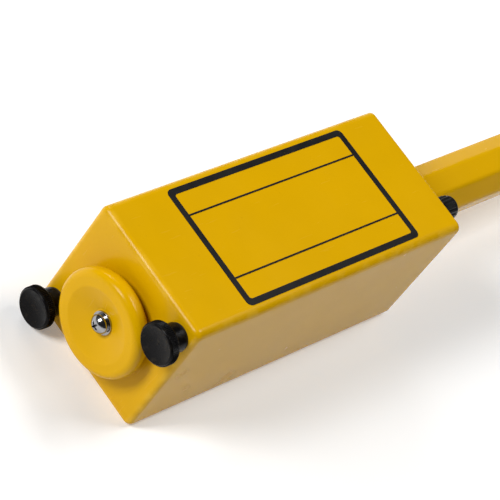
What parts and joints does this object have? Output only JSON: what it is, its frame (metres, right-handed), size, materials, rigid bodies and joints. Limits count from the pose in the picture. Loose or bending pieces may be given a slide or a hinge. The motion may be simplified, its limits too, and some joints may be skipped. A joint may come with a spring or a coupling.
{
  "type": "magnetic locator",
  "caption": "Hand-held magnetic locator: square yellow electronics head with slide-off cover, speaker baffle, thumb nuts and control knobs on a long octagonal sensor tube.",
  "frame": {"origin": "middle of the underside of the square head, on the face it lies on", "axes": "+X along the instrument towards the tube's tip, +Z out of the printed face, +Y to the left seen from the speaker end"},
  "size_m": [1.0738, 0.0794, 0.0762],
  "materials": {
    "yellow_enamel": "glossy enamel",
    "yellow_tube": "glossy enamel on a glass-fibre tube",
    "black_print": "screen-printed ink",
    "chrome_hardware": "bright plated",
    "black_plastic": "moulded, semi-gloss",
    "dull_black_plastic": "moulded, dull",
    "black_rubber": "moulded rubber",
    "brass_hardware": "turned",
    "grey_foam": "closed-cell foam",
    "bare_aluminium": "bare sheet and turned parts",
    "zinc_steel": "zinc plated",
    "speaker_paper": "pressed paper",
    "dark_ferrite": "ferrite",
    "battery_jacket": "plain dark printed jacket",
    "green_board": "solder mask over glass fibre",
    "board_components": "moulded packages and sleeves",
    "red_lead": "insulated wire",
    "grey_lead": "insulated cable",
    "copper_winding": "enamelled copper wire"
  },
  "bodies": {
    "chassis": {"cover_studs": "brass_hardware", "speaker_foam": "grey_foam", "speaker_plate": "bare_aluminium", "speaker_frame": "zinc_steel", "speaker_magnet": "dark_ferrite", "speaker_screws": "zinc_steel", "chassis_tray": "bare_aluminium", "tray_screws": "zinc_steel", "battery_holder": "dull_black_plastic", "battery_leads": "red_lead", "circuit_board": "green_board", "board_parts": "board_components", "board_spacers": "brass_hardware", "board_screws": "zinc_steel", "speaker_leads": "red_lead", "control_leads": "grey_lead", "cover_gasket": "black_rubber", "end_plate": "yellow_enamel", "tube_socket": "bare_aluminium", "socket_screws": "zinc_steel", "tube_seal": "black_rubber", "volume_control": "zinc_steel", "sensitivity_switch": "zinc_steel", "control_nuts": "zinc_steel", "sensor_tube": "yellow_tube", "tube_cap": "black_rubber", "cap_screw": "zinc_steel", "sensor_carrier": "bare_aluminium", "upper_sensor": "copper_winding", "lower_sensor": "copper_winding", "sensor_spacers": "grey_foam", "sensor_cable": "grey_lead"},
    "cover": {"cover": "yellow_enamel", "label_frame": "black_print", "baffle_disc": "yellow_enamel", "baffle_spacer": "yellow_enamel", "baffle_washers": "chrome_hardware", "baffle_screw": "chrome_hardware", "nut_seals": "black_rubber"},
    "upper_nut": {"thumb_nut_upper": "black_plastic"},
    "lower_nut": {"thumb_nut_lower": "black_plastic"},
    "volume": {"volume_shaft": "zinc_steel", "volume_knob": "black_plastic"},
    "sensitivity": {"sensitivity_shaft": "zinc_steel", "sensitivity_knob": "black_plastic"},
    "left_battery": {"battery_left": "battery_jacket", "battery_snap_left": "dull_black_plastic"},
    "right_battery": {"battery_right": "battery_jacket", "battery_snap_right": "dull_black_plastic"},
    "cone": {"speaker_cone": "speaker_paper"}
  },
  "joints": [
    {"name": "cover_slide", "type": "slide", "parent": "chassis", "child": "cover", "axis": [-1, 0, 0], "range_m": [0, 0.19]},
    {"name": "upper_nut_turn", "type": "hinge", "parent": "cover", "child": "upper_nut", "pos_m": [-0.1, -0.02925, 0.065], "axis": [1, 0, 0], "continuous": true},
    {"name": "lower_nut_turn", "type": "hinge", "parent": "cover", "child": "lower_nut", "pos_m": [-0.1, 0.02925, 0.011], "axis": [1, 0, 0], "continuous": true},
    {"name": "volume_turn", "type": "hinge", "parent": "chassis", "child": "volume", "pos_m": [0.1, 0.02, 0.0145], "axis": [1, 0, 0], "range_deg": [0, 300]},
    {"name": "sensitivity_turn", "type": "hinge", "parent": "chassis", "child": "sensitivity", "pos_m": [0.1, -0.02, 0.0615], "axis": [1, 0, 0], "range_deg": [0, 90]},
    {"name": "left_battery_lift", "type": "slide", "parent": "chassis", "child": "left_battery", "axis": [0, 0, 1], "range_m": [0, 0.03]},
    {"name": "right_battery_lift", "type": "slide", "parent": "chassis", "child": "right_battery", "axis": [0, 0, 1], "range_m": [0, 0.03]},
    {"name": "cone_travel", "type": "slide", "parent": "chassis", "child": "cone", "axis": [1, 0, 0], "range_m": [-0.0005, 0.0005], "stiffness_N_per_m": 100}
  ]
}
